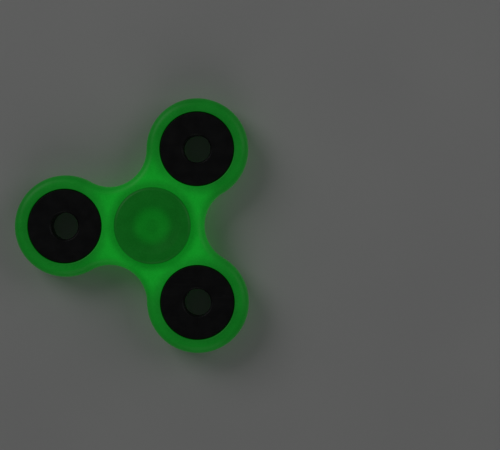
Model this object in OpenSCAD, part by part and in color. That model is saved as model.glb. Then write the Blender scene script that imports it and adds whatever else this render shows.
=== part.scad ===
// Three-lobed fidget spinner: a frame with three ring weights, on a ball bearing between two finger caps.
// The origin is the middle of the bearing, +Z is the spin axis, and the first lobe points along -X.

/* [Frame] */
// Distance from the spin axis to the middle of each lobe
lobe_pitch = 26; // [25.5:0.25:28]
// Radius of each lobe, and of the waist halfway between two lobes
lobe_r = 15; // [14.5:0.25:16]
// Thickness of the frame
frame_t = 8; // [7.5:0.25:8.5]
// Rounding of the frame's outer edges
edge_r = 2.5; // [0.5:0.25:3]
// Bevel at the mouth of each round seat
seat_break = 0.35; // [0.1:0.05:0.6]

/* [Ring weights] */
// Outside diameter of a ring weight
weight_od = 22; // [20:0.5:22]
// Hole through a ring weight
weight_bore = 8; // [6:0.5:12]
// Thickness of a ring weight
weight_t = 7; // [6:0.25:7.5]
// Bevel along the edges of a ring weight
weight_break = 0.4; // [0.1:0.05:0.6]

/* [Bearing, size 608] */
// Outside diameter of the bearing
bearing_od = 22; // [21.5:0.25:22.5]
// Bore of the bearing
bearing_bore = 8; // [7.5:0.25:8.5]
// Width of the bearing
bearing_w = 7; // [7:0.25:7.5]
// Diameter of a ball
ball_d = 3.969; // [3.9:0.001:3.969]
// Play between a ball and the floor of each groove
ball_play = 0.03; // [0.01:0.01:0.05]
// Thickness of the sheet that the cage and the shields are pressed from
sheet_t = 0.3; // [0.25:0.05:0.3]
// Diameter of the wire that holds a shield in
wire_d = 0.4; // [0.3:0.05:0.4]

/* [Finger caps] */
// Diameter of a cap's flange
cap_d = 22.6; // [21:0.2:24]
// Height of a cap's rim above its underside
cap_t = 1.9; // [1.6:0.1:2.4]
// Rounding of a cap's outer edge
cap_edge_r = 1; // [0.4:0.1:1.2]
// Radius of the hollow for the fingertip
dish_r = 8.5; // [7:0.25:9]
// Depth of the hollow for the fingertip
dish_depth = 0.8; // [0.4:0.1:1]
// Diameter of the blind hole up a cap's stem
core_d = 3.5; // [2:0.25:4]
// Height between a cap's flange and the frame's face
cap_gap = 0.3; // [0.2:0.05:0.5]

/* [Hidden] */
$fn = 96;

// Directions of the three lobes
LEFT = 180;
UPPER_RIGHT = 60;
LOWER_RIGHT = -60;
LOBES = [LEFT, UPPER_RIGHT, LOWER_RIGHT];
// The lobes and the hollows between them alternate at the corners of a hexagon
CORNERS = 2 * len(LOBES);
CORNER_STEP = 360 / CORNERS;
// How far a cutter runs past the face that it cuts
over = 1;
// Radial room left at each push fit
fit_gap = 0.01;

// Frame: each hollow bites a little into the lobes beside it, so that the two arcs cross, and the arc of a
// rounding is set in a little less than its radius, so that it meets each face at a slight angle
hollow_bite = 0.05;
edge_inset = 0.98 * edge_r;
hollow_r = lobe_pitch - lobe_r + hollow_bite;
weight_seat_r = weight_od / 2 + fit_gap;
bearing_seat_r = bearing_od / 2 + fit_gap;

// Bearing: the ball circle runs midway between the bore and the outside
BALLS = 7;
BALL_STEP = 360 / BALLS;
race_r = bearing_od / 2;
bore_r = bearing_bore / 2;
half_w = bearing_w / 2;
ball_r = ball_d / 2;
ball_circle_r = (race_r + bore_r) / 2;
groove_r = 0.52 * ball_d;
groove_shift = groove_r - ball_r - ball_play;
inner_land_r = ball_circle_r - 1.45;
outer_land_r = ball_circle_r + 1.5;
race_break = 0.3;

// Shields: each lies on a shoulder inside the outer race, under a wire ring
shoulder_z = half_w - 0.95;
recess_r = race_r - 1.25;
shield_r = recess_r - 0.05;
shield_eye_r = inner_land_r + 0.25;
shield_rise = 0.35;
shield_flat = 0.8;
wire_z = shoulder_z + sheet_t + wire_d / 2;
wire_groove_r = recess_r + wire_d / 2;
wire_circle_r = wire_groove_r - wire_d / 2 - 0.03;
wire_arc = 340;

// Cage: two pressed strips with a cup over each ball
cage_band = 1.5;
cage_in_r = ball_circle_r - cage_band / 2;
cage_out_r = ball_circle_r + cage_band / 2;
cup_r = ball_r + 0.06;
rivet_r = 0.35;
rivet_head_r = 0.6;
rivet_head_t = 0.25;

// Caps
cap_r = cap_d / 2;
cap_under_z = frame_t / 2 + cap_gap;
cap_top_z = cap_under_z + cap_t;
cap_edge_inset = 0.98 * cap_edge_r;
boss_r = inner_land_r - 0.15;
stem_r = bore_r - fit_gap;
stem_end_z = 0.2;
stem_break = 0.3;
dish_sphere_r = (dish_r * dish_r + dish_depth * dish_depth) / (2 * dish_depth);

// Moves a round piece out from the spin axis, without turning it
module out_along(angle, distance) {
    translate([distance * cos(angle), distance * sin(angle), 0]) children();
}

// Turns a piece made for the upper side over to the lower side
module below() {
    mirror([0, 0, 1]) children();
}

// What a rounding takes off a square corner, drawn from the middle of its arc
module corner_waste(r) {
    difference() {
        square(r + over);
        circle(r = r);
    }
}

// One lobe: a round plate with both rims rounded
module lobe() {
    rotate_extrude()
        difference() {
            translate([0, -frame_t / 2]) square([lobe_r, frame_t]);
            for (side = [0, 1])
                mirror([0, side])
                    translate([lobe_r - edge_inset, frame_t / 2 - edge_inset]) corner_waste(edge_r);
        }
}

// Cuts one hollow between two lobes, and leaves the same rounded edges as the lobes have
module hollow_cutter() {
    mouth_r = hollow_r + edge_inset;
    rotate([0, 0, 180])
        rotate_extrude() {
            translate([0, -frame_t / 2 - over]) square([hollow_r, frame_t + 2 * over]);
            for (side = [0, 1])
                mirror([0, side])
                    difference() {
                        translate([0, frame_t / 2 - edge_inset]) square([mouth_r, edge_inset + over]);
                        translate([mouth_r, frame_t / 2 - edge_inset]) circle(r = edge_r);
                    }
        }
}

// Cuts a round seat through the frame, with a bevelled mouth on both faces
module seat_cutter(r) {
    mouth_z = frame_t / 2 - seat_break;
    end_z = frame_t / 2 + over;
    end_r = r + seat_break + over;
    rotate_extrude()
        polygon([[0, -end_z], [end_r, -end_z], [r, -mouth_z], [r, mouth_z], [end_r, end_z], [0, end_z]]);
}

// Section of a ring between two radii, bevelled at its four corners
module ring_section(inner, outer, height, bevel) {
    z = height / 2;
    polygon([
        [inner, bevel - z], [inner + bevel, -z], [outer - bevel, -z], [outer, bevel - z],
        [outer, z - bevel], [outer - bevel, z], [inner + bevel, z], [inner, z - bevel]
    ]);
}

module frame() {
    color([0.05, 0.49, 0.11])
        difference() {
            union() {
                linear_extrude(frame_t, center = true) circle(r = lobe_pitch, $fn = CORNERS);
                for (direction = LOBES)
                    out_along(direction, lobe_pitch) lobe();
            }
            for (direction = LOBES) {
                out_along(direction + CORNER_STEP, lobe_pitch) hollow_cutter();
                out_along(direction, lobe_pitch) seat_cutter(weight_seat_r);
            }
            seat_cutter(bearing_seat_r);
        }
}

module weight(direction) {
    color([0.02, 0.02, 0.02])
        out_along(direction, lobe_pitch)
            rotate_extrude() ring_section(weight_bore / 2, weight_od / 2, weight_t, weight_break);
}

module bearing_outer_race() {
    color("silver")
        rotate_extrude()
            difference() {
                ring_section(outer_land_r - race_break, race_r, bearing_w, race_break);
                square([2 * outer_land_r, bearing_w + over], center = true);
                translate([ball_circle_r - groove_shift, 0]) circle(r = groove_r);
                for (side = [-1, 1]) {
                    translate([0, side * half_w])
                        square([2 * recess_r, 2 * (half_w - shoulder_z)], center = true);
                    translate([0, side * wire_z]) square([2 * wire_groove_r, wire_d], center = true);
                }
            }
}

module bearing_inner_race() {
    color("silver")
        rotate_extrude()
            difference() {
                ring_section(bore_r, inner_land_r, bearing_w, race_break);
                translate([ball_circle_r + groove_shift, 0]) circle(r = groove_r);
            }
}

module bearing_ball(number) {
    color("gainsboro")
        out_along((number - 1) * BALL_STEP, ball_circle_r) sphere(r = ball_r);
}

// Upper strip of the cage: a flat ring on the middle plane, raised into a cup over each ball
module cage_strip() {
    color("goldenrod")
        difference() {
            intersection() {
                union() {
                    cylinder(r = cage_out_r, h = sheet_t);
                    for (number = [1:BALLS])
                        out_along((number - 1) * BALL_STEP, ball_circle_r) sphere(r = cup_r + sheet_t);
                }
                difference() {
                    cylinder(r = cage_out_r, h = half_w);
                    translate([0, 0, -over]) cylinder(r = cage_in_r, h = half_w + 2 * over);
                }
            }
            for (number = [1:BALLS]) {
                out_along((number - 1) * BALL_STEP, ball_circle_r) sphere(r = cup_r);
                out_along((number - 0.5) * BALL_STEP, ball_circle_r)
                    cylinder(r = rivet_r, h = half_w, center = true);
            }
        }
}

module cage_upper() {
    cage_strip();
}

module cage_lower() {
    below() cage_strip();
}

// One rivet between each pair of balls
module cage_rivets() {
    grip = sheet_t + rivet_head_t;
    color("goldenrod")
        for (number = [1:BALLS])
            out_along((number - 0.5) * BALL_STEP, ball_circle_r)
                rotate_extrude()
                    polygon([
                        [0, -grip], [rivet_r, -grip], [rivet_head_r, -sheet_t], [rivet_r, -sheet_t],
                        [rivet_r, sheet_t], [rivet_head_r, sheet_t], [rivet_r, grip], [0, grip]
                    ]);
}

// Upper shield: a flat outer edge on the shoulder, then a step out towards the face of the bearing
module shield() {
    low = shoulder_z;
    high = shoulder_z + shield_rise;
    step_r = shield_r - shield_flat;
    color("lightgray")
        rotate_extrude()
            polygon([
                [shield_r, low], [shield_r, low + sheet_t], [step_r, low + sheet_t],
                [step_r - shield_rise, high + sheet_t], [shield_eye_r, high + sheet_t], [shield_eye_r, high],
                [step_r - shield_rise - sheet_t / 2, high], [step_r - sheet_t / 2, low]
            ]);
}

module shield_upper() {
    shield();
}

module shield_lower() {
    below() shield();
}

// Upper wire ring, open over a short gap so that it can be sprung into its groove
module shield_ring() {
    color("darkgray")
        translate([0, 0, wire_z])
            rotate_extrude(angle = wire_arc)
                translate([wire_circle_r, 0]) circle(d = wire_d);
}

module shield_ring_upper() {
    shield_ring();
}

module shield_ring_lower() {
    below() shield_ring();
}

// Upper cap: a dished flange for the fingertip, a boss on the inner race and a stem in the bearing's bore
module cap() {
    color([0.02, 0.31, 0.06])
        difference() {
            union() {
                rotate_extrude()
                    difference() {
                        translate([0, cap_under_z]) square([cap_r, cap_t]);
                        translate([cap_r - cap_edge_inset, cap_top_z - cap_edge_inset])
                            corner_waste(cap_edge_r);
                    }
                translate([0, 0, half_w]) cylinder(r = boss_r, h = cap_t);
                rotate_extrude()
                    polygon([
                        [0, stem_end_z], [stem_r - stem_break, stem_end_z], [stem_r, stem_end_z + stem_break],
                        [stem_r, half_w + over], [0, half_w + over]
                    ]);
            }
            translate([0, 0, cap_top_z - dish_depth + dish_sphere_r]) sphere(r = dish_sphere_r);
            translate([0, 0, stem_end_z - over]) cylinder(d = core_d, h = cap_under_z + over);
        }
}

module cap_upper() {
    cap();
}

module cap_lower() {
    below() cap();
}

frame();
weight(LEFT);  // weight_left
weight(UPPER_RIGHT);  // weight_upper_right
weight(LOWER_RIGHT);  // weight_lower_right
bearing_outer_race();
bearing_inner_race();
bearing_ball(1);  // bearing_ball_1
bearing_ball(2);  // bearing_ball_2
bearing_ball(3);  // bearing_ball_3
bearing_ball(4);  // bearing_ball_4
bearing_ball(5);  // bearing_ball_5
bearing_ball(6);  // bearing_ball_6
bearing_ball(7);  // bearing_ball_7
cage_upper();
cage_lower();
cage_rivets();
shield_upper();
shield_lower();
shield_ring_upper();
shield_ring_lower();
cap_upper();
cap_lower();
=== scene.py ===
"""A three-lobed luminous fidget spinner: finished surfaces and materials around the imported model."""
import logging
import math
from dataclasses import dataclass
from enum import Enum

import bpy
import numpy as np
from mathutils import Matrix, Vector


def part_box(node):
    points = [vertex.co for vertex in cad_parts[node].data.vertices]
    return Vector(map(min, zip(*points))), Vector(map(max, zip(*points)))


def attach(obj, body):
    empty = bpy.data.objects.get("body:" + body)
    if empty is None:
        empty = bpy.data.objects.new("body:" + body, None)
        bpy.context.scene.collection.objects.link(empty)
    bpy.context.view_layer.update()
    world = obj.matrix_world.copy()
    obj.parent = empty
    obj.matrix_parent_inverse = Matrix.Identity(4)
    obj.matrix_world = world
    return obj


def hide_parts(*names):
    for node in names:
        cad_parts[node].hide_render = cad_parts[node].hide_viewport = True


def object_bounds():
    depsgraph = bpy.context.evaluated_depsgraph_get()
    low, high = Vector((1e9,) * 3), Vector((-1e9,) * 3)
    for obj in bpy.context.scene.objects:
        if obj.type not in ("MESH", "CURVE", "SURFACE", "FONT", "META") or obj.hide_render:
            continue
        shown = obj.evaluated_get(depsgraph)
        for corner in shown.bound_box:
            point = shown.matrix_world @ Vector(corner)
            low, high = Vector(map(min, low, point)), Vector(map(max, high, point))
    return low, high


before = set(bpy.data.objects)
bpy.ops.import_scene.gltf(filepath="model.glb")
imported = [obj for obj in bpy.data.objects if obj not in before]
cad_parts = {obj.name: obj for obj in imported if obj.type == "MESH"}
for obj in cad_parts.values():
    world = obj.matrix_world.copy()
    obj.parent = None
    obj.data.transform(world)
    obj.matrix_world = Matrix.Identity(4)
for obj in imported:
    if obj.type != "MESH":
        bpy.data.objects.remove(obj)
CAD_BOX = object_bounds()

log = logging.getLogger("spinner")

MM = 0.001
Colour = tuple[float, float, float]
Spot = tuple[float, float]


# ---------------------------------------------------------------- plan of the spinner


@dataclass(frozen=True)
class Plan:
    """Where the spinner's round features lie, in metres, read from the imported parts.

    The lobes and the hollows between them alternate at the corners of a hexagon.
    """

    pitch: float
    lobe_r: float
    half_frame: float
    weight_r: float
    hole_r: float
    half_weight: float
    cap_r: float
    cap_top: float

    @classmethod
    def read(cls, inset: float = 0.01 * MM) -> "Plan":
        """Args: inset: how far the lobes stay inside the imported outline.

        Returns: the plan, measured on the nodes' boxes.
        """
        body_low, body_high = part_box("frame")
        weight_low, weight_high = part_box("weight_left")
        cap_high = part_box("cap_upper")[1]
        pitch = -(weight_low.x + weight_high.x) / 2
        return cls(
            pitch=pitch,
            lobe_r=-body_low.x - pitch - inset,
            half_frame=body_high.z,
            weight_r=(weight_high.y - weight_low.y) / 2,
            hole_r=nearest_radius("weight_left", (-pitch, 0.0)),
            half_weight=weight_high.z,
            cap_r=cap_high.x,
            cap_top=cap_high.z,
        )

    @property
    def hollow_r(self) -> float:
        """Returns: the radius of the hollows, which meet the lobes tangent to them."""
        return self.pitch - self.lobe_r

    def corner(self, degrees: float) -> Spot:
        """Returns: the point at the pitch radius in one direction."""
        a = math.radians(degrees)
        return self.pitch * math.cos(a), self.pitch * math.sin(a)

    def lobe_centres(self) -> list[Spot]:
        """Returns: the middle of each lobe, in plan."""
        return [self.corner(a) for a in (60, 180, 300)]

    def hollow_centres(self) -> list[Spot]:
        """Returns: the middle of each hollow's arc, in plan."""
        return [self.corner(a) for a in (120, 240, 0)]


def nearest_radius(node: str, centre: Spot) -> float:
    """Returns: how near a node's mesh comes to a vertical line through centre."""
    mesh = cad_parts[node].data
    places = np.empty(3 * len(mesh.vertices), np.float32)
    mesh.vertices.foreach_get("co", places)
    flat = places.reshape(-1, 3)[:, :2] - np.array(centre, np.float32)
    return float(np.hypot(flat[:, 0], flat[:, 1]).min())


# ---------------------------------------------------------------- surfaces


def unit(vectors: np.ndarray) -> np.ndarray:
    """Returns: the vectors scaled to length 1."""
    return vectors / np.maximum(np.linalg.norm(vectors, axis=-1, keepdims=True), 1e-15)


def rounded(
    corners: list[Spot], radii: float | list[float], closed: bool = False, steps: int = 8
) -> np.ndarray:
    """Rounds the corners of a line of points.

    Each corner gives way to an arc tangent to both of its sides: the arc's middle is on the corner's
    bisector, at the radius over the sine of half the corner's angle, and it turns through the rest of a
    half turn.

    Args: corners: the points. radii: one radius, or one for each corner. closed: whether the last point
        joins the first; the ends of an open line aren't rounded. steps: segments of an arc.
    Returns: the points of the rounded line, without repeats.
    """
    points = np.array(corners, float)
    radius = np.broadcast_to(np.asarray(radii, float), len(points))[:, None]
    back, ahead = unit(np.roll(points, 1, 0) - points), unit(np.roll(points, -1, 0) - points)
    half = np.arccos(np.clip((back * ahead).sum(1), -1, 1))[:, None] / 2
    middle = points + unit(back + ahead) * radius / np.sin(half)
    arm = points + back * radius / np.tan(half) - middle
    turn = np.sign(back[:, :1] * ahead[:, 1:] - back[:, 1:] * ahead[:, :1]) * -(math.pi - 2 * half)
    angle = turn * np.linspace(0, 1, steps + 1)
    x = middle[:, :1] + arm[:, :1] * np.cos(angle) - arm[:, 1:] * np.sin(angle)
    y = middle[:, 1:] + arm[:, :1] * np.sin(angle) + arm[:, 1:] * np.cos(angle)
    arcs = np.stack([x, y], -1)
    line = arcs.reshape(-1, 2) if closed else np.vstack([points[:1], arcs[1:-1].reshape(-1, 2), points[-1:]])
    apart = np.linalg.norm(np.diff(line, axis=0), axis=1) > 1e-7
    return line[np.concatenate([[True], apart])]


def facing(line: np.ndarray, closed: bool = False) -> np.ndarray:
    """Returns: the direction to the left of a line of points at each of them, from its two neighbours."""
    run = np.roll(line, -1, 0) - np.roll(line, 1, 0) if closed else np.gradient(line, axis=0)
    return unit(np.stack([-run[:, 1], run[:, 0]], -1))


class Skin:
    """The patches of one closed surface, joined wherever their points meet."""

    weld = 3e-8

    def __init__(self) -> None:
        """Starts with nothing."""
        self.points: list[np.ndarray] = []
        self.normals: list[np.ndarray] = []
        self.quads: list[np.ndarray] = []

    def add(self, points: np.ndarray, normals: np.ndarray) -> None:
        """Adds a grid of points whose last row joins its first. A quad is turned to face as its normals do.

        Args: points, normals: arrays of rows by columns by 3.
        """
        rows, columns = points.shape[:2]
        start = sum(len(p) for p in self.points)
        number = np.arange(start, start + rows * columns).reshape(rows, columns)
        number = np.vstack([number, number[:1]])
        here, across = number[:-1], number[1:]
        quads = np.stack([here[:, :-1], across[:, :-1], across[:, 1:], here[:, 1:]], -1).reshape(-1, 4)
        flat, out = points.reshape(-1, 3), normals.reshape(-1, 3)
        corner = flat[quads - start]
        upright = np.cross(corner[:, 2] - corner[:, 0], corner[:, 3] - corner[:, 1])
        inside = (upright * out[quads - start].sum(1)).sum(1) < 0
        quads[inside] = quads[inside][:, ::-1]
        self.points.append(flat)
        self.normals.append(out)
        self.quads.append(quads)

    def revolve(
        self, line: np.ndarray, centre: Spot, angles: np.ndarray, closed: bool = False, side: int = 1
    ) -> None:
        """Turns a line of radii and heights about a vertical axis.

        Args: line: the points, with the outside on their left. centre: the axis. angles: where the line
            stands. closed: whether its last point joins its first. side: -1 turns it over, upside down.
        """
        out = facing(line, closed)
        if closed:
            line, out = np.vstack([line, line[:1]]), np.vstack([out, out[:1]])
        round_x, round_y = np.cos(angles)[:, None], np.sin(angles)[:, None]
        level = np.ones_like(round_x)
        points = np.stack([
            centre[0] + line[:, 0] * round_x,
            centre[1] + line[:, 0] * round_y,
            side * line[:, 1] * level,
        ], -1)
        normals = np.stack([out[:, 0] * round_x, out[:, 0] * round_y, side * out[:, 1] * level], -1)
        self.add(points, normals)

    def piece(self, name: str, material: bpy.types.Material) -> bpy.types.Object:
        """Joins the patches and makes the object.

        Args: name: its name. material: its finish.
        Returns: the object, at the origin.
        """
        points, normals = np.concatenate(self.points), np.concatenate(self.normals)
        cell = np.rint(points / self.weld).astype(np.int64)
        _, first, joined = np.unique(cell, axis=0, return_index=True, return_inverse=True)
        quads = joined.reshape(-1)[np.concatenate(self.quads)]
        keep = quads != np.roll(quads, -1, 1)
        keep[keep.sum(1) < 3] = False
        sizes = keep.sum(1)
        sizes, corners = sizes[sizes > 0], quads[keep]
        mesh = bpy.data.meshes.new(name)
        mesh.vertices.add(len(first))
        mesh.vertices.foreach_set("co", points[first].ravel())
        mesh.loops.add(len(corners))
        mesh.loops.foreach_set("vertex_index", corners)
        mesh.polygons.add(len(sizes))
        mesh.polygons.foreach_set("loop_start", np.cumsum(sizes) - sizes)
        mesh.polygons.foreach_set("use_smooth", np.ones(len(sizes), bool))
        mesh.update(calc_edges=True)
        mesh.normals_split_custom_set_from_vertices(unit(normals[first]).tolist())
        mesh.materials.append(material)
        made = bpy.data.objects.new(name, mesh)
        bpy.context.scene.collection.objects.link(made)
        open_edges = 2 * len(mesh.edges) - len(mesh.loops)
        log.info("%s: %d faces, %d open edges, %s", name, len(sizes), open_edges, material.name)
        return made


def full_turn(count: int) -> np.ndarray:
    """Returns: that many equal steps round a circle."""
    return np.arange(count) * (2 * math.pi / count)


# ---------------------------------------------------------------- shader arithmetic


class Wire:
    """A socket of a material, on which arithmetic adds Math nodes."""

    def __init__(self, net: "Net", socket: bpy.types.NodeSocket) -> None:
        """Args: net: the material's nodes. socket: the output that carries the value."""
        self.net = net
        self.socket = socket

    def __add__(self, other: "Wire | float") -> "Wire":
        """Returns: the sum."""
        return self.net.math("ADD", self, other)

    def __sub__(self, other: "Wire | float") -> "Wire":
        """Returns: self less other."""
        return self.net.math("SUBTRACT", self, other)

    def __rsub__(self, other: float) -> "Wire":
        """Returns: other less self."""
        return self.net.math("SUBTRACT", other, self)

    def __mul__(self, other: "Wire | float") -> "Wire":
        """Returns: the product."""
        return self.net.math("MULTIPLY", self, other)

    def __pow__(self, other: float) -> "Wire":
        """Returns: self raised to a power."""
        return self.net.math("POWER", self, other)

    def __abs__(self) -> "Wire":
        """Returns: the size of the value without its sign."""
        return self.net.math("ABSOLUTE", self)

    __radd__ = __add__
    __rmul__ = __mul__

    def least(self, other: "Wire | float") -> "Wire":
        """Returns: the smaller of the two."""
        return self.net.math("MINIMUM", self, other)

    def most(self, other: "Wire | float") -> "Wire":
        """Returns: the larger of the two."""
        return self.net.math("MAXIMUM", self, other)

    def wave(self, length: float) -> "Wire":
        """Returns: a sine from 0 to 1 that repeats over a length."""
        return self.net.math("SINE", self * (2 * math.pi / length)) * 0.5 + 0.5

    def ease(self, low: float, high: float, start: float = 0.0, end: float = 1.0) -> "Wire":
        """Eases from start at low to end at high, level outside.

        Args: low, high: where the slope begins and ends. start, end: the values there.
        Returns: the eased value.
        """
        sockets = {"Value": self, "From Min": low, "From Max": high, "To Min": start, "To Max": end}
        return self.net.node("ShaderNodeMapRange", {"interpolation_type": "SMOOTHSTEP"}, sockets)

    def other_output(self, name: str) -> "Wire":
        """Returns: another output of the same node."""
        return Wire(self.net, self.socket.node.outputs[name])


class Net:
    """The nodes of one material, from Object coordinates to a Principled shader."""

    def __init__(self, name: str) -> None:
        """Args: name: the material's name."""
        self.material = bpy.data.materials.new(name)
        self.material.use_nodes = True
        self.tree = self.material.node_tree
        self.tree.nodes.clear()
        output = self.tree.nodes.new("ShaderNodeOutputMaterial")
        self.shader = self.tree.nodes.new("ShaderNodeBsdfPrincipled")
        self.tree.links.new(self.shader.outputs["BSDF"], output.inputs["Surface"])
        self.place = self.node("ShaderNodeTexCoord", out="Object")
        self.x = self.node("ShaderNodeSeparateXYZ", sockets={"Vector": self.place}, out="X")
        self.y = self.x.other_output("Y")
        self.z = self.x.other_output("Z")

    def node(
        self,
        kind: str,
        settings: dict[str, object] | None = None,
        sockets: dict[str | int, object] | None = None,
        out: str | int = 0,
    ) -> Wire:
        """Adds one node.

        Args: kind: its type. settings: its own properties, set first. sockets: values or wires of its
            inputs. out: the output that is wanted.
        Returns: that output.
        """
        made = self.tree.nodes.new(kind)
        for name, value in (settings or {}).items():
            setattr(made, name, value)
        for name, value in (sockets or {}).items():
            self.feed(made.inputs[name], value)
        return Wire(self, made.outputs[out])

    def feed(self, target: bpy.types.NodeSocket, value: object) -> None:
        """Links a wire to a socket, or sets the socket's value."""
        if isinstance(value, Wire):
            self.tree.links.new(value.socket, target)
        else:
            target.default_value = value

    def math(self, operation: str, first: Wire | float, second: Wire | float = 0.0) -> Wire:
        """Returns: the result of one Math node."""
        return self.node("ShaderNodeMath", {"operation": operation}, {0: first, 1: second})

    def mix(self, amount: Wire, first: Wire | Colour, second: Wire | Colour) -> Wire:
        """Returns: a colour that goes from first to second as amount goes from 0 to 1."""
        ends = [c if isinstance(c, Wire) else (*c, 1.0) for c in (first, second)]
        settings = {"data_type": "RGBA", "clamp_factor": True}
        return self.node("ShaderNodeMix", settings, {0: amount, 6: ends[0], 7: ends[1]}, out=2)

    def away(self, centre: Spot) -> Wire:
        """Returns: the distance in plan from a vertical line through centre."""
        across, along = self.x - centre[0], self.y - centre[1]
        return (across * across + along * along) ** 0.5

    def nearest(self, centres: list[Spot]) -> Wire:
        """Returns: the distance in plan to the nearest of several vertical lines."""
        best = self.away(centres[0])
        for centre in centres[1:]:
            best = best.least(self.away(centre))
        return best

    def mottle(
        self, size: float, detail: float = 3.0, stretch: Colour = (1, 1, 1), turn: float = 0.0
    ) -> Wire:
        """Soft random patches.

        Args: size: a patch's width in metres. detail: how many finer layers lie on it. stretch: how much
            finer it is along each axis. turn: its angle about Z, in radians.
        Returns: a value around 0.5.
        """
        sockets = {"Vector": self.place, "Rotation": (0, 0, turn), "Scale": tuple(s / size for s in stretch)}
        vector = self.node("ShaderNodeMapping", None, sockets)
        return self.node("ShaderNodeTexNoise", None, {"Vector": vector, "Scale": 1.0, "Detail": detail})

    def scratches(self, size: float, turn: float, share: float) -> Wire:
        """Long hairlines: the middle contour of a noise that is drawn out along one direction.

        Args: size: the space between hairlines. turn: their direction. share: how much of the surface has
            them.
        Returns: 1 on a hairline, 0 between.
        """
        lines = abs(self.mottle(size, 1.0, (0.015, 1, 1), turn) - 0.5).ease(0.0, 0.008, 1.0, 0.0)
        return lines * self.mottle(9 * size, 1.0, (0.3, 1, 1), turn).ease(0.60 - share, 0.74 - share)

    def bump(self, height: Wire, depth: float, under: Wire | None = None) -> Wire:
        """Returns: the normal of a surface raised by height times depth, in metres, on top of another."""
        sockets = {"Height": height, "Distance": depth, "Strength": 1.0}
        if under is not None:
            sockets["Normal"] = under
        return self.node("ShaderNodeBump", None, sockets)

    def dress(self, **inputs: object) -> bpy.types.Material:
        """Sets the shader's sockets, named with _ for a space.

        Returns: the material.
        """
        for name, value in inputs.items():
            if isinstance(value, tuple) and len(value) == 3:
                value = (*value, 1.0)
            self.feed(self.shader.inputs[name.replace("_", " ")], value)
        return self.material


# ---------------------------------------------------------------- finishes


@dataclass(frozen=True)
class GlowingFrame:
    """Moulded plastic filled with a green phosphor, charged and glowing.

    It glows most in the solid web between the seats. The glow is dimmed by painted shade beside the steel
    rings, by a painted shadow next to the cap, by painted shade along its edges and by a painted falloff out
    along the thin lobes.
    """

    deep: Colour = (0.008, 0.130, 0.018)
    pale: Colour = (0.018, 0.190, 0.032)
    speck: Colour = (0.050, 0.300, 0.070)
    glow: Colour = (0.003, 0.500, 0.022)
    strength: float = 0.46
    cloud_size: float = 7 * MM
    grain_size: float = 0.35 * MM
    dust_size: float = 0.16 * MM
    seat_dark_width: float = 0.7 * MM
    web_r: float = 13 * MM
    neck_r: Spot = (25 * MM, 26 * MM)
    tip_r: float = 40 * MM
    neck_share: float = 0.60
    tip_share: float = 0.84
    ring_share: float = 0.70
    cap_share: float = 0.62
    edge_share: float = 0.66
    edge_width: float = 3 * MM
    fade_width: float = 3.4 * MM

    def outline_depth(self, net: Net, plan: Plan) -> Wire:
        """How far inside the outline a point is: within the lobes' discs and the hexagon through their
        middles, and outside the hollows' discs.

        Returns: the depth in metres.
        """
        reach = abs(net.y)
        for degrees in (30, 150):
            a = math.radians(degrees)
            reach = reach.most(abs(net.x * math.cos(a) + net.y * math.sin(a)))
        lobes = plan.lobe_r - net.nearest(plan.lobe_centres())
        hexagon = plan.pitch * math.cos(math.radians(30)) - reach
        return lobes.most(hexagon).least(net.nearest(plan.hollow_centres()) - plan.hollow_r)

    def material(self, plan: Plan) -> bpy.types.Material:
        """Args: plan: the spinner's plan.

        Returns: the finish.
        """
        net = Net("glowing_frame")
        seat = net.nearest(plan.lobe_centres())
        hub = net.away((0.0, 0.0))
        depth = self.outline_depth(net, plan)
        cloud = net.mottle(self.cloud_size, 4.0)
        grain = net.mottle(self.grain_size, 2.0)
        dust = net.mottle(self.dust_size, 1.0).ease(0.66, 0.74)
        marks = net.scratches(1.1 * MM, 0.5, 0.12).most(net.scratches(0.8 * MM, 2.1, 0.08))
        worn = depth.ease(0.3 * MM, 1.3 * MM, 1.0, 0.0)
        # The base colour is made darker within a narrow band next to the ring seats
        seat_darkening = seat.ease(plan.weight_r, plan.weight_r + self.seat_dark_width, 1.0, 0.0)

        tone = cloud.ease(0.3, 0.7) * 0.55 + grain.ease(0.3, 0.7) * 0.45
        base = net.mix(tone, self.deep, self.pale)
        base = net.mix(dust * 0.45, base, self.speck)
        base = net.mix(seat_darkening * 0.55 + marks * 0.18, base, self.deep)

        # Painted shade in the glow: a falloff out to the necks and tips, shade beside the rings and along the
        # edges, and the cap's shadow
        painted_neck_falloff = hub.ease(self.web_r, self.neck_r[0], 1.0, self.neck_share)
        painted_tip_falloff = hub.ease(self.neck_r[1], self.tip_r, 1.0, self.tip_share)
        painted_ring_shade = (seat - plan.weight_r).ease(0.2 * MM, self.fade_width, self.ring_share, 1.0)
        painted_cap_shadow = (hub - plan.weight_r).ease(0.6 * MM, self.fade_width, self.cap_share, 1.0)
        painted_edge_shade = depth.ease(0.0, self.edge_width, self.edge_share, 1.0)
        grains = 0.9 + tone * 0.18 + dust * 0.1 - marks * 0.1
        # The glow's level: the painted shade times the plastic's own grain, dust and marks
        painted_glow_level = painted_neck_falloff * painted_tip_falloff * painted_ring_shade * painted_cap_shadow * painted_edge_shade * grains
        light = net.mix(painted_glow_level, (0, 0, 0), self.glow)

        rough = 0.44 + (cloud - 0.5) * 0.16 + (grain - 0.5) * 0.1 + marks * 0.16 - worn * 0.08
        skin = net.bump(grain * 0.7 + cloud * 0.3, 0.010 * MM)
        normal = net.bump(marks, -0.006 * MM, skin)
        return net.dress(
            Base_Color=base, Roughness=rough, Normal=normal, Emission_Color=light,
            Emission_Strength=self.strength, IOR=1.46, Specular_IOR_Level=0.4,
        )


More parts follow.
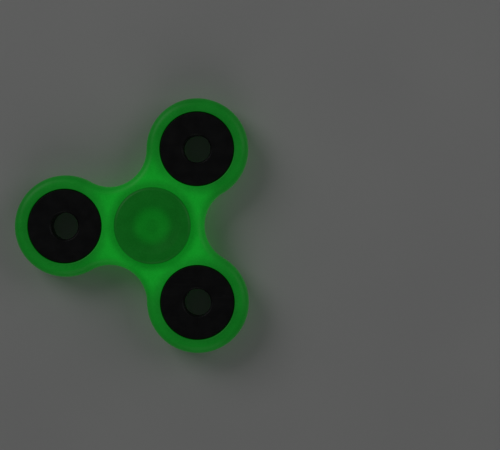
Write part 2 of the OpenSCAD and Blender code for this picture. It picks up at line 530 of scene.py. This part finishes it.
@dataclass(frozen=True)
class GlowingCap:
    """The same plastic, moulded thin: its glow is painted brighter over the thick stem, and painted dimmer in
    the flange around it.
    """

    deep: Colour = (0.005, 0.075, 0.012)
    pale: Colour = (0.010, 0.110, 0.020)
    speck: Colour = (0.036, 0.210, 0.050)
    glow: Colour = (0.003, 0.500, 0.020)
    strength: float = 0.385
    core_r: float = 1.75 * MM
    stem_r: float = 4.0 * MM
    boss_r: float = 6.6 * MM
    stem_share: float = 0.6
    flange_share: float = 0.34
    core_share: float = 0.9
    cloud_size: float = 5 * MM
    grain_size: float = 0.35 * MM
    dust_size: float = 0.16 * MM

    def material(self, plan: Plan) -> bpy.types.Material:
        """Args: plan: the spinner's plan.

        Returns: the finish.
        """
        net = Net("glowing_cap")
        hub = net.away((0.0, 0.0))
        cloud = net.mottle(self.cloud_size, 4.0)
        grain = net.mottle(self.grain_size, 2.0)
        dust = net.mottle(self.dust_size, 1.0).ease(0.66, 0.74)
        marks = net.scratches(0.7 * MM, 1.2, 0.10).most(net.scratches(1.3 * MM, 2.7, 0.09))
        polished = hub.ease(3 * MM, 8.5 * MM, 1.0, 0.0)
        worn = hub.ease(plan.cap_r - 1.2 * MM, plan.cap_r - 0.3 * MM)

        tone = cloud.ease(0.3, 0.7) * 0.5 + grain.ease(0.3, 0.7) * 0.5
        base = net.mix(tone, self.deep, self.pale)
        base = net.mix(dust * 0.4 + worn * 0.12, base, self.speck)
        base = net.mix(marks * 0.14, base, self.deep)

        # Painted light: the glow is painted brighter over the thick stem, dimmer in the flange and dimmer
        # again over the hollow core
        painted_stem_glow = hub.ease(self.stem_r - 0.6 * MM, self.boss_r, self.stem_share, self.flange_share)
        painted_core_dip = hub.ease(0.6 * self.core_r, 1.5 * self.core_r, self.core_share, 1.0)
        painted_glow_level = painted_stem_glow * painted_core_dip * (0.88 + tone * 0.2 + dust * 0.1 - marks * 0.1)
        light = net.mix(painted_glow_level, (0, 0, 0), self.glow)

        rough = 0.46 - polished * 0.12 + (cloud - 0.5) * 0.12 + (grain - 0.5) * 0.08 + marks * 0.14
        skin = net.bump(grain * 0.7 + cloud * 0.3, 0.01 * MM)
        normal = net.bump(marks, -0.004 * MM, skin)
        return net.dress(
            Base_Color=base, Roughness=rough, Normal=normal, Emission_Color=light,
            Emission_Strength=self.strength, IOR=1.46, Specular_IOR_Level=0.4,
        )


@dataclass(frozen=True)
class BlackOxide:
    """Turned steel, blackened and oiled, with the bright metal just showing along its worn bevels."""

    black: Colour = (0.0045, 0.0045, 0.0050)
    oiled: Colour = (0.0085, 0.0085, 0.0090)
    bare: Colour = (0.055, 0.055, 0.058)
    ring_pitch: float = 0.16 * MM
    bevel: float = 0.4 * MM

    def material(self, plan: Plan) -> bpy.types.Material:
        """Args: plan: the spinner's plan.

        Returns: the finish.
        """
        net = Net("black_oxide_steel")
        out = net.nearest(plan.lobe_centres())
        patch = net.mottle(3.5 * MM, 3.0)
        fine = net.mottle(0.12 * MM, 2.0)
        turned = (out + (patch - 0.5) * 0.02 * MM).wave(self.ring_pitch)
        marks = net.scratches(0.9 * MM, 0.9, 0.1)
        rim = out.ease(plan.weight_r - 1.4 * self.bevel, plan.weight_r - 0.7 * self.bevel)
        mouth = out.ease(plan.hole_r + 0.7 * self.bevel, plan.hole_r + 1.3 * self.bevel, 1.0, 0.0)
        worn = (rim + mouth) * patch.ease(0.5, 0.66) * fine.ease(0.4, 0.6)

        base = net.mix(patch.ease(0.3, 0.7) * 0.7 + fine * 0.3, self.black, self.oiled)
        base = net.mix(worn * 0.5 + marks * 0.22, base, self.bare)
        rough = 0.42 + (patch - 0.5) * 0.22 + (turned - 0.5) * 0.05 + (fine - 0.5) * 0.08 - worn * 0.1
        skin = net.bump(turned * 0.6 + fine * 0.4, 0.004 * MM)
        normal = net.bump(marks, -0.004 * MM, skin)
        return net.dress(
            Base_Color=base, Roughness=rough, Metallic=worn * 0.6, Normal=normal, IOR=1.5,
            Specular_IOR_Level=0.3,
        )


class Steel(Enum):
    """How a bearing's steel is finished: tint, roughness, tool-mark spacing and mark depth in metres."""

    GROUND = ((0.56, 0.57, 0.58), 0.22, 0.05 * MM, 0.0015 * MM)
    PRESSED = ((0.46, 0.46, 0.45), 0.38, 0.12 * MM, 0.0025 * MM)
    RAW_STRIP = ((0.38, 0.35, 0.30), 0.45, 0.20 * MM, 0.0035 * MM)
    SPRING = ((0.20, 0.20, 0.22), 0.34, 0.08 * MM, 0.0020 * MM)
    POLISHED = ((0.70, 0.71, 0.72), 0.07, 0.30 * MM, 0.0003 * MM)


@dataclass(frozen=True)
class BearingSteel:
    """Bare bearing steel, marked in rings about the spin axis and lightly filmed with oil."""

    kind: Steel

    def material(self) -> bpy.types.Material:
        """Returns: the finish."""
        tint, rough, pitch, depth = self.kind.value
        net = Net(f"steel_{self.kind.name.lower()}")
        film = net.mottle(2.2 * MM, 3.0)
        fine = net.mottle(0.1 * MM, 2.0)
        rings = (net.away((0.0, 0.0)) + (film - 0.5) * 0.03 * MM).wave(pitch)
        stain = film.ease(0.55, 0.75)
        base = net.mix(stain * 0.6 + fine * 0.2, tint, tuple(c * 0.72 for c in tint))
        spread = rough + (rings - 0.5) * rough * 0.3 + stain * 0.1 + (fine - 0.5) * 0.06
        normal = net.bump(rings * 0.7 + fine * 0.3, depth)
        return net.dress(Base_Color=base, Roughness=spread, Metallic=1.0, Normal=normal)


@dataclass(frozen=True)
class PaleFloor:
    """A plain pale table top with a faint tooth."""

    tint: Colour = (0.62, 0.62, 0.61)
    shade: Colour = (0.58, 0.58, 0.575)

    def material(self) -> bpy.types.Material:
        """Returns: the finish."""
        net = Net("pale_floor")
        cloud = net.mottle(60 * MM, 3.0)
        tooth = net.mottle(0.8 * MM, 2.0)
        base = net.mix(cloud.ease(0.3, 0.7) * 0.7 + tooth * 0.3, self.tint, self.shade)
        rough = 0.62 + (tooth - 0.5) * 0.1
        return net.dress(Base_Color=base, Roughness=rough, Normal=net.bump(tooth, 0.02 * MM))


# ---------------------------------------------------------------- the spinner's pieces


@dataclass(frozen=True)
class MouldedFrame:
    """The lobed moulding: a band carried round its outline, four round seats and the flats between them.

    The wall leans in slightly from a fine parting line at half its height, and rolls over into both faces.
    """

    plan: Plan
    edge_r: float = 2.5 * MM
    seat_gap: float = 0.01 * MM
    seat_break: float = 0.35 * MM
    draft: float = 0.03 * MM
    parting: float = 0.04 * MM
    parting_t: float = 0.2 * MM
    lobe_steps: int = 120
    neck_steps: int = 36
    edge_steps: int = 18

    @property
    def hollow_steps(self) -> int:
        """Returns: the steps along a hollow, which turns half as far as a lobe."""
        return self.lobe_steps // 2

    def outline(self) -> tuple[np.ndarray, np.ndarray, np.ndarray, np.ndarray]:
        """Walks round the outline: each lobe turns a third of a turn to either side of its outward
        direction, and the hollow after it turns back by a sixth to either side of the spin axis.

        Returns: for each station its arc's centre, the direction from there, the arc's radius, and 1 on a
            lobe or -1 on a hollow.
        """
        swing = np.radians(np.linspace(-120, 120, self.lobe_steps, endpoint=False))
        back = np.radians(np.linspace(60, -60, self.hollow_steps, endpoint=False))
        centres, angles, radii, signs = [], [], [], []
        for lobe, hollow in zip(self.plan.lobe_centres(), self.plan.hollow_centres()):
            centres += [np.tile(lobe, (len(swing), 1)), np.tile(hollow, (len(back), 1))]
            angles += [math.atan2(lobe[1], lobe[0]) + swing, math.atan2(-hollow[1], -hollow[0]) + back]
            radii += [np.full(len(swing), self.plan.lobe_r), np.full(len(back), self.plan.hollow_r)]
            signs += [np.ones(len(swing)), -np.ones(len(back))]
        angle = np.concatenate(angles)
        ways = np.stack([np.cos(angle), np.sin(angle)], -1)
        return np.concatenate(centres), ways, np.concatenate(radii), np.concatenate(signs)

    def section(self) -> np.ndarray:
        """Draws the band's section from the upper flat round to the lower one: a quarter circle, the
        leaning wall, the parting line, and the same again mirrored.

        Returns: points of minus the depth inside the outline, and the height.
        """
        lean = self.parting + self.draft
        angle = np.linspace(math.pi / 2, 0, self.edge_steps + 1)
        roll_x = -lean - self.edge_r + self.edge_r * np.cos(angle)
        roll_z = self.plan.half_frame - self.edge_r + self.edge_r * np.sin(angle)
        half = self.parting_t / 2
        foot = [
            (-0.5 * (lean + self.parting), 5 * half),
            (-self.parting, 1.3 * half),
            (-0.4 * self.parting, half),
        ]
        upper = np.vstack([np.stack([roll_x, roll_z], -1), foot, [(0.0, 0.3 * half)]])
        return np.vstack([upper, (upper * (1, -1))[::-1]])

    def flat(self, skin: Skin, centre: Spot, edge: np.ndarray) -> None:
        """Adds a seat and the flats around it: straight lines from the seat's mouth to the cell's edge.

        Args: skin: the surface. centre: the seat's axis. edge: the cell's edge, round the seat.
        """
        arm = edge - centre
        seat_r = self.plan.weight_r + self.seat_gap
        mouth = centre + unit(arm) * (seat_r + self.seat_break)
        share = np.linspace(0, 1, 5)[None, :, None]
        spread = mouth[:, None] * (1 - share) + edge[:, None] * share
        up = np.broadcast_to((0.0, 0.0, 1.0), (*spread.shape[:2], 3))
        for side in (1, -1):
            level = np.full((*spread.shape[:2], 1), side * self.plan.half_frame)
            skin.add(np.concatenate([spread, level], -1), side * up)
        wide, top = seat_r + self.seat_break, self.plan.half_frame
        bore = rounded([(wide, -top), (seat_r, -top), (seat_r, top), (wide, top)], self.seat_break)
        skin.revolve(bore, centre, np.arctan2(arm[:, 1], arm[:, 0]))

    def build(self) -> bpy.types.Object:
        """Returns: the finished moulding.

        The band is the section set along the outline. Each lobe's cell ends on a straight line across its
        neck, which runs between the two hollows where they come nearest to each other.
        """
        centres, ways, radii, signs = self.outline()
        section = self.section()
        out = facing(section)
        level = np.ones((len(ways), 1))
        depth = -section[:, 0]
        band = centres[:, None] + ways[:, None] * (radii[:, None] - signs[:, None] * depth)[..., None]
        lean = ways[:, None] * (signs[:, None] * out[:, 0])[..., None]
        skin = Skin()
        skin.add(
            np.concatenate([band, (level * section[:, 1])[..., None]], -1),
            np.concatenate([lean, (level * out[:, 1])[..., None]], -1),
        )
        rim = band[:, 0]
        period, quarter = self.lobe_steps + self.hollow_steps, self.hollow_steps // 4
        hub_edge = []
        for number, lobe in enumerate(self.plan.lobe_centres()):
            first, last = number * period - quarter, number * period + self.lobe_steps + quarter
            share = np.linspace(0, 1, self.neck_steps + 1)[:, None]
            neck = rim[first] * (1 - share) + rim[last] * share
            self.flat(skin, lobe, np.vstack([rim[np.arange(first, last)], neck[:0:-1]]))
            hub_edge += [neck[:-1], rim[np.arange(last, last + 2 * quarter)]]
        self.flat(skin, (0.0, 0.0), np.vstack(hub_edge))
        piece = skin.piece("moulded_frame", GlowingFrame().material(self.plan))
        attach(piece, "spinner")
        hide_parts("frame")
        return piece


@dataclass(frozen=True)
class RingWeights:
    """The three pressed-in steel rings: a square section with softened bevels."""

    plan: Plan
    bevel: float = 0.4 * MM
    soften: float = 0.25 * MM
    steps: int = 160

    def section(self) -> np.ndarray:
        """Returns: the ring's section, from the top of its bore outwards and down."""
        low, high, top, cut = self.plan.hole_r, self.plan.weight_r, self.plan.half_weight, self.bevel
        corners = [
            (low, top - cut), (low + cut, top), (high - cut, top), (high, top - cut),
            (high, cut - top), (high - cut, -top), (low + cut, -top), (low, cut - top),
        ]
        return rounded(corners, self.soften, closed=True, steps=5)

    def build(self) -> list[bpy.types.Object]:
        """Returns: the three rings."""
        finish = BlackOxide().material(self.plan)
        made = []
        for name, centre in zip(("upper_right", "left", "lower_right"), self.plan.lobe_centres()):
            skin = Skin()
            skin.revolve(self.section(), centre, full_turn(self.steps), closed=True)
            piece = skin.piece(f"ring_weight_{name}", finish)
            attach(piece, "spinner")
            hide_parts(f"weight_{name}")
            made.append(piece)
        return made


@dataclass(frozen=True)
class FingerCaps:
    """The two caps: a dished flange, a boss that stands on the inner race and a stem in its bore."""

    plan: Plan
    painted_stem_glow: float = 1.9 * MM
    edge_r: float = 1.0 * MM
    dish_r: float = 8.6 * MM
    dish_depth: float = 0.8 * MM
    boss_r: float = 5.9 * MM
    stem_r: float = 3.99 * MM
    stem_end: float = 0.2 * MM
    stem_break: float = 0.3 * MM
    core_r: float = 1.75 * MM
    core_end: float = 4.5 * MM
    race_half: float = 3.5 * MM
    soft: float = 0.15 * MM
    steps: int = 180

    def section(self) -> np.ndarray:
        """Draws the cap from the middle of its dish outwards, down and back along its underside.

        The dish's depth is its full depth times one less the square of the radius over the dish's radius,
        to the power 1.25, so that it runs out level into the brim.

        Returns: points of radius and height.
        """
        top, under, out = self.plan.cap_top, self.plan.cap_top - self.painted_stem_glow, self.plan.cap_r
        r = np.linspace(0, self.dish_r, 40)[:-1]
        dish = np.stack([r, top - self.dish_depth * (1 - (r / self.dish_r) ** 2) ** 1.25], -1)
        corners = [
            (self.dish_r, top), (out, top), (out, under), (self.boss_r, under), (self.boss_r, self.race_half),
            (self.stem_r, self.race_half), (self.stem_r, self.stem_end), (self.core_r, self.stem_end),
            (self.core_r, self.core_end), (0.0, self.core_end),
        ]
        soft = self.soft
        radii = [0, self.edge_r, soft, soft, soft, soft, self.stem_break, soft, soft, 0]
        return np.vstack([dish, rounded(corners, radii, steps=10)])

    def build(self) -> list[bpy.types.Object]:
        """Returns: the upper and the lower cap."""
        finish = GlowingCap().material(self.plan)
        made = []
        for name, side in (("upper", 1), ("lower", -1)):
            skin = Skin()
            skin.revolve(self.section(), (0.0, 0.0), full_turn(self.steps), side=side)
            piece = skin.piece(f"finger_cap_{name}", finish)
            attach(piece, "hub")
            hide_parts(f"cap_{name}")
            made.append(piece)
        return made


@dataclass(frozen=True)
class Bearing:
    """The ball bearing inside the hub, and the finish of each of its parts."""

    balls: int = 7

    def dress(self) -> None:
        """Gives each part of the bearing its steel."""
        parts = {
            Steel.GROUND: ["bearing_outer_race", "bearing_inner_race"],
            Steel.POLISHED: [f"bearing_ball_{n + 1}" for n in range(self.balls)],
            Steel.RAW_STRIP: ["cage_upper", "cage_lower", "cage_rivets"],
            Steel.PRESSED: ["shield_upper", "shield_lower"],
            Steel.SPRING: ["shield_ring_upper", "shield_ring_lower"],
        }
        for kind, nodes in parts.items():
            material = BearingSteel(kind).material()
            for node in nodes:
                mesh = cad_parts[node].data
                mesh.materials.clear()
                mesh.materials.append(material)
                log.info("%s: %s", node, material.name)


# ---------------------------------------------------------------- floor, light and camera


@dataclass(frozen=True)
class Lamp:
    """A square soft light that faces the spinner: its middle, side and power in metres and watts."""

    name: str
    place: Vector
    size: float
    watts: float

    def hang(self) -> None:
        """Adds the light to the scene."""
        data = bpy.data.lights.new(self.name, "AREA")
        data.shape = "SQUARE"
        data.size = self.size
        data.energy = self.watts
        lamp = bpy.data.objects.new(self.name, data)
        lamp.location = self.place
        lamp.rotation_euler = (-self.place).to_track_quat("-Z", "Y").to_euler()
        bpy.context.scene.collection.objects.link(lamp)


@dataclass(frozen=True)
class Studio:
    """A pale table under soft lights, seen from straight above.

    The lights stand to the sides, so that faces that look up don't mirror them.
    """

    camera_height: float = 520 * MM
    camera_place: Spot = (46.7 * MM, -0.6 * MM)
    camera_turn: Colour = (math.radians(0.07), math.radians(2.0), math.radians(-0.21))
    view_width: float = 146.2 * MM
    sensor: float = 36.0
    floor_half: float = 1.5
    floor_gap: float = 0.01 * MM
    sky_tint: Colour = (0.95, 0.98, 1.0)
    sky_strength: float = 0.043

    def floor(self) -> None:
        """Lays the table top just under the lowest point of the spinner."""
        low = CAD_BOX[0].z - self.floor_gap
        s = self.floor_half
        mesh = bpy.data.meshes.new("floor")
        mesh.from_pydata([(-s, -s, low), (s, -s, low), (s, s, low), (-s, s, low)], [], [(0, 1, 2, 3)])
        mesh.materials.append(PaleFloor().material())
        table = bpy.data.objects.new("floor", mesh)
        bpy.context.scene.collection.objects.link(table)

    def lights(self) -> None:
        """Adds the key, the fill, the back light and a dim even sky."""
        Lamp("key", Vector((-0.55, 0.50, 0.55)), 0.5, 1.05).hang()
        Lamp("fill", Vector((0.70, 0.25, 0.45)), 0.6, 0.59).hang()
        Lamp("back", Vector((0.05, -0.75, 0.40)), 0.6, 0.47).hang()
        world = bpy.data.worlds.new("sky")
        world.use_nodes = True
        sky = world.node_tree.nodes["Background"]
        sky.inputs["Color"].default_value = (*self.sky_tint, 1.0)
        sky.inputs["Strength"].default_value = self.sky_strength
        bpy.context.scene.world = world

    def camera(self, plan: Plan) -> None:
        """Hangs the camera above the spinner's right side, almost straight down."""
        data = bpy.data.cameras.new("camera")
        data.sensor_width = self.sensor
        data.lens = self.sensor * self.camera_height / self.view_width
        data.clip_start = 0.01
        eye = bpy.data.objects.new("camera", data)
        eye.location = (*self.camera_place, plan.half_weight + self.camera_height)
        eye.rotation_euler = self.camera_turn
        bpy.context.scene.collection.objects.link(eye)
        bpy.context.scene.camera = eye

    def build(self, plan: Plan) -> None:
        """Sets up the table, the lights, the camera and plain display colours."""
        self.floor()
        self.lights()
        self.camera(plan)
        bpy.context.scene.view_settings.view_transform = "Standard"


def main() -> None:
    """Builds the spinner's pieces and the studio around them."""
    logging.basicConfig(level=logging.INFO, format="%(message)s")
    plan = Plan.read()
    log.info("plan: %s", plan)
    MouldedFrame(plan).build()
    RingWeights(plan).build()
    FingerCaps(plan).build()
    Bearing().dress()
    Studio().build(plan)


if __name__ == "__main__":
    main()
